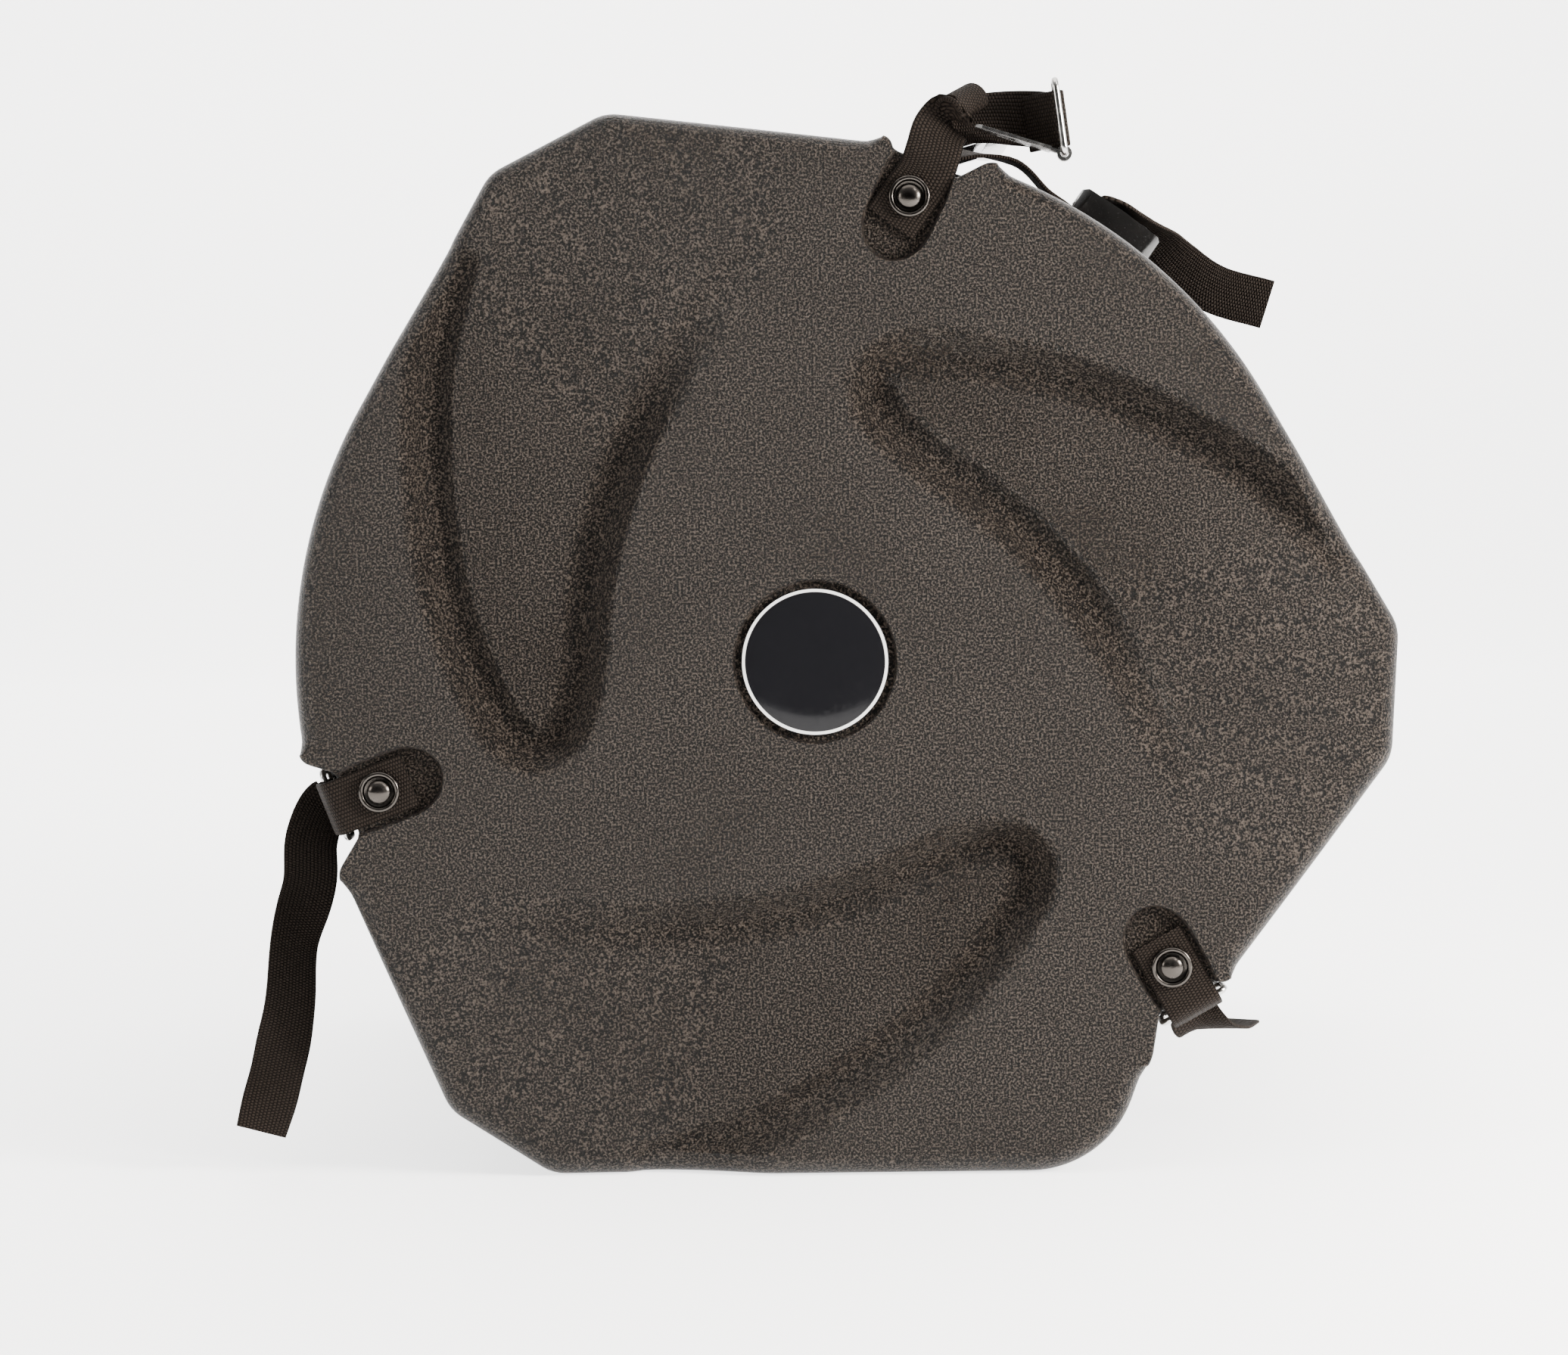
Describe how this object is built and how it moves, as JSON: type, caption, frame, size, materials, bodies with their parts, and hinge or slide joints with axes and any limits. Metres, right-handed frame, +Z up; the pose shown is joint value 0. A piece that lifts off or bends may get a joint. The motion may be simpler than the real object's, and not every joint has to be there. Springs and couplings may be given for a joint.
{
  "type": "floor tom case",
  "caption": "Hard moulded drum case on its flat side, with a lid that slides off, webbing fastenings with push-button buckles, and a swinging carry handle.",
  "frame": {"origin": "on the floor under the axis of the case, halfway along its depth; every part is about this one frame", "axes": "+X to the right as seen from the lid, +Y from the lid to the closed back, +Z up; the lid faces -Y"},
  "size_m": [0.5281, 0.4725, 0.4939],
  "materials": {
    "shell": "grained moulded plastic, near black and warm",
    "badge": "glossy black with one plain white ring",
    "foam": "soft open-cell foam",
    "webbing": "ribbed black woven webbing",
    "gunmetal": "dark gunmetal plating, polished",
    "steel": "bright plated steel",
    "gloss": "glossy black moulded plastic"
  },
  "bodies": {
    "base": {"base_shell": "shell", "base_foam_pad": "foam", "base_strap_1": "webbing", "base_strap_2": "webbing", "base_strap_3": "webbing", "base_cup_1": "gunmetal", "base_cup_2": "gunmetal", "base_cup_3": "gunmetal", "base_rivet_1": "gunmetal", "base_rivet_2": "gunmetal", "base_rivet_3": "gunmetal", "base_back_washer_1": "steel", "base_back_washer_2": "steel", "base_back_washer_3": "steel", "buckle_housing_1": "gloss", "buckle_housing_2": "gloss", "buckle_housing_3": "gloss", "latch_spring_1": "steel", "latch_spring_2": "steel", "latch_spring_3": "steel", "handle_plate": "gloss", "handle_pin_front": "steel", "handle_pin_rear": "steel", "handle_rivet_1": "gunmetal", "handle_rivet_2": "gunmetal", "handle_rivet_3": "gunmetal", "handle_rivet_4": "gunmetal"},
    "lid": {"lid_shell": "shell", "badge": "badge", "lid_foam_pad": "foam", "lid_tab_1": "webbing", "lid_tab_2": "webbing", "lid_tab_3": "webbing", "lid_cup_1": "gunmetal", "lid_cup_2": "gunmetal", "lid_cup_3": "gunmetal", "lid_rivet_1": "gunmetal", "lid_rivet_2": "gunmetal", "lid_rivet_3": "gunmetal", "lid_back_washer_1": "steel", "lid_back_washer_2": "steel", "lid_back_washer_3": "steel", "ring_1": "steel", "ring_2": "steel", "ring_3": "steel", "catch_plate_1": "steel", "catch_plate_2": "steel", "catch_plate_3": "steel"},
    "button_1": {"release_button_1": "gloss"},
    "button_2": {"release_button_2": "gloss"},
    "button_3": {"release_button_3": "gloss"},
    "handle": {"handle_bail": "gloss"}
  },
  "joints": [
    {"name": "lid_slide", "type": "slide", "parent": "base", "child": "lid", "axis": [0, -1, 0], "range_m": [0, 0.3], "deforming": ["latch_spring_2", "latch_spring_3"]},
    {"name": "button_press_1", "type": "slide", "parent": "base", "child": "button_1", "axis": [-0.5878, 0, -0.809], "range_m": [0, 0.0015], "stiffness_N_per_m": 400, "springref_m": -0.001, "deforming": ["latch_spring_1"]},
    {"name": "button_press_2", "type": "slide", "parent": "base", "child": "button_2", "axis": [0.9367, 0, 0.3502], "range_m": [0, 0.0015], "stiffness_N_per_m": 400, "springref_m": -0.001, "deforming": ["latch_spring_2"]},
    {"name": "button_press_3", "type": "slide", "parent": "base", "child": "button_3", "axis": [-0.4848, 0, 0.8746], "range_m": [0, 0.0015], "stiffness_N_per_m": 400, "springref_m": -0.001, "deforming": ["latch_spring_3"]},
    {"name": "handle_swing", "type": "hinge", "parent": "base", "child": "handle", "pos_m": [0.06209, 0.055, 0.47694], "axis": [0, -1, 0], "range_deg": [0, 110]}
  ]
}
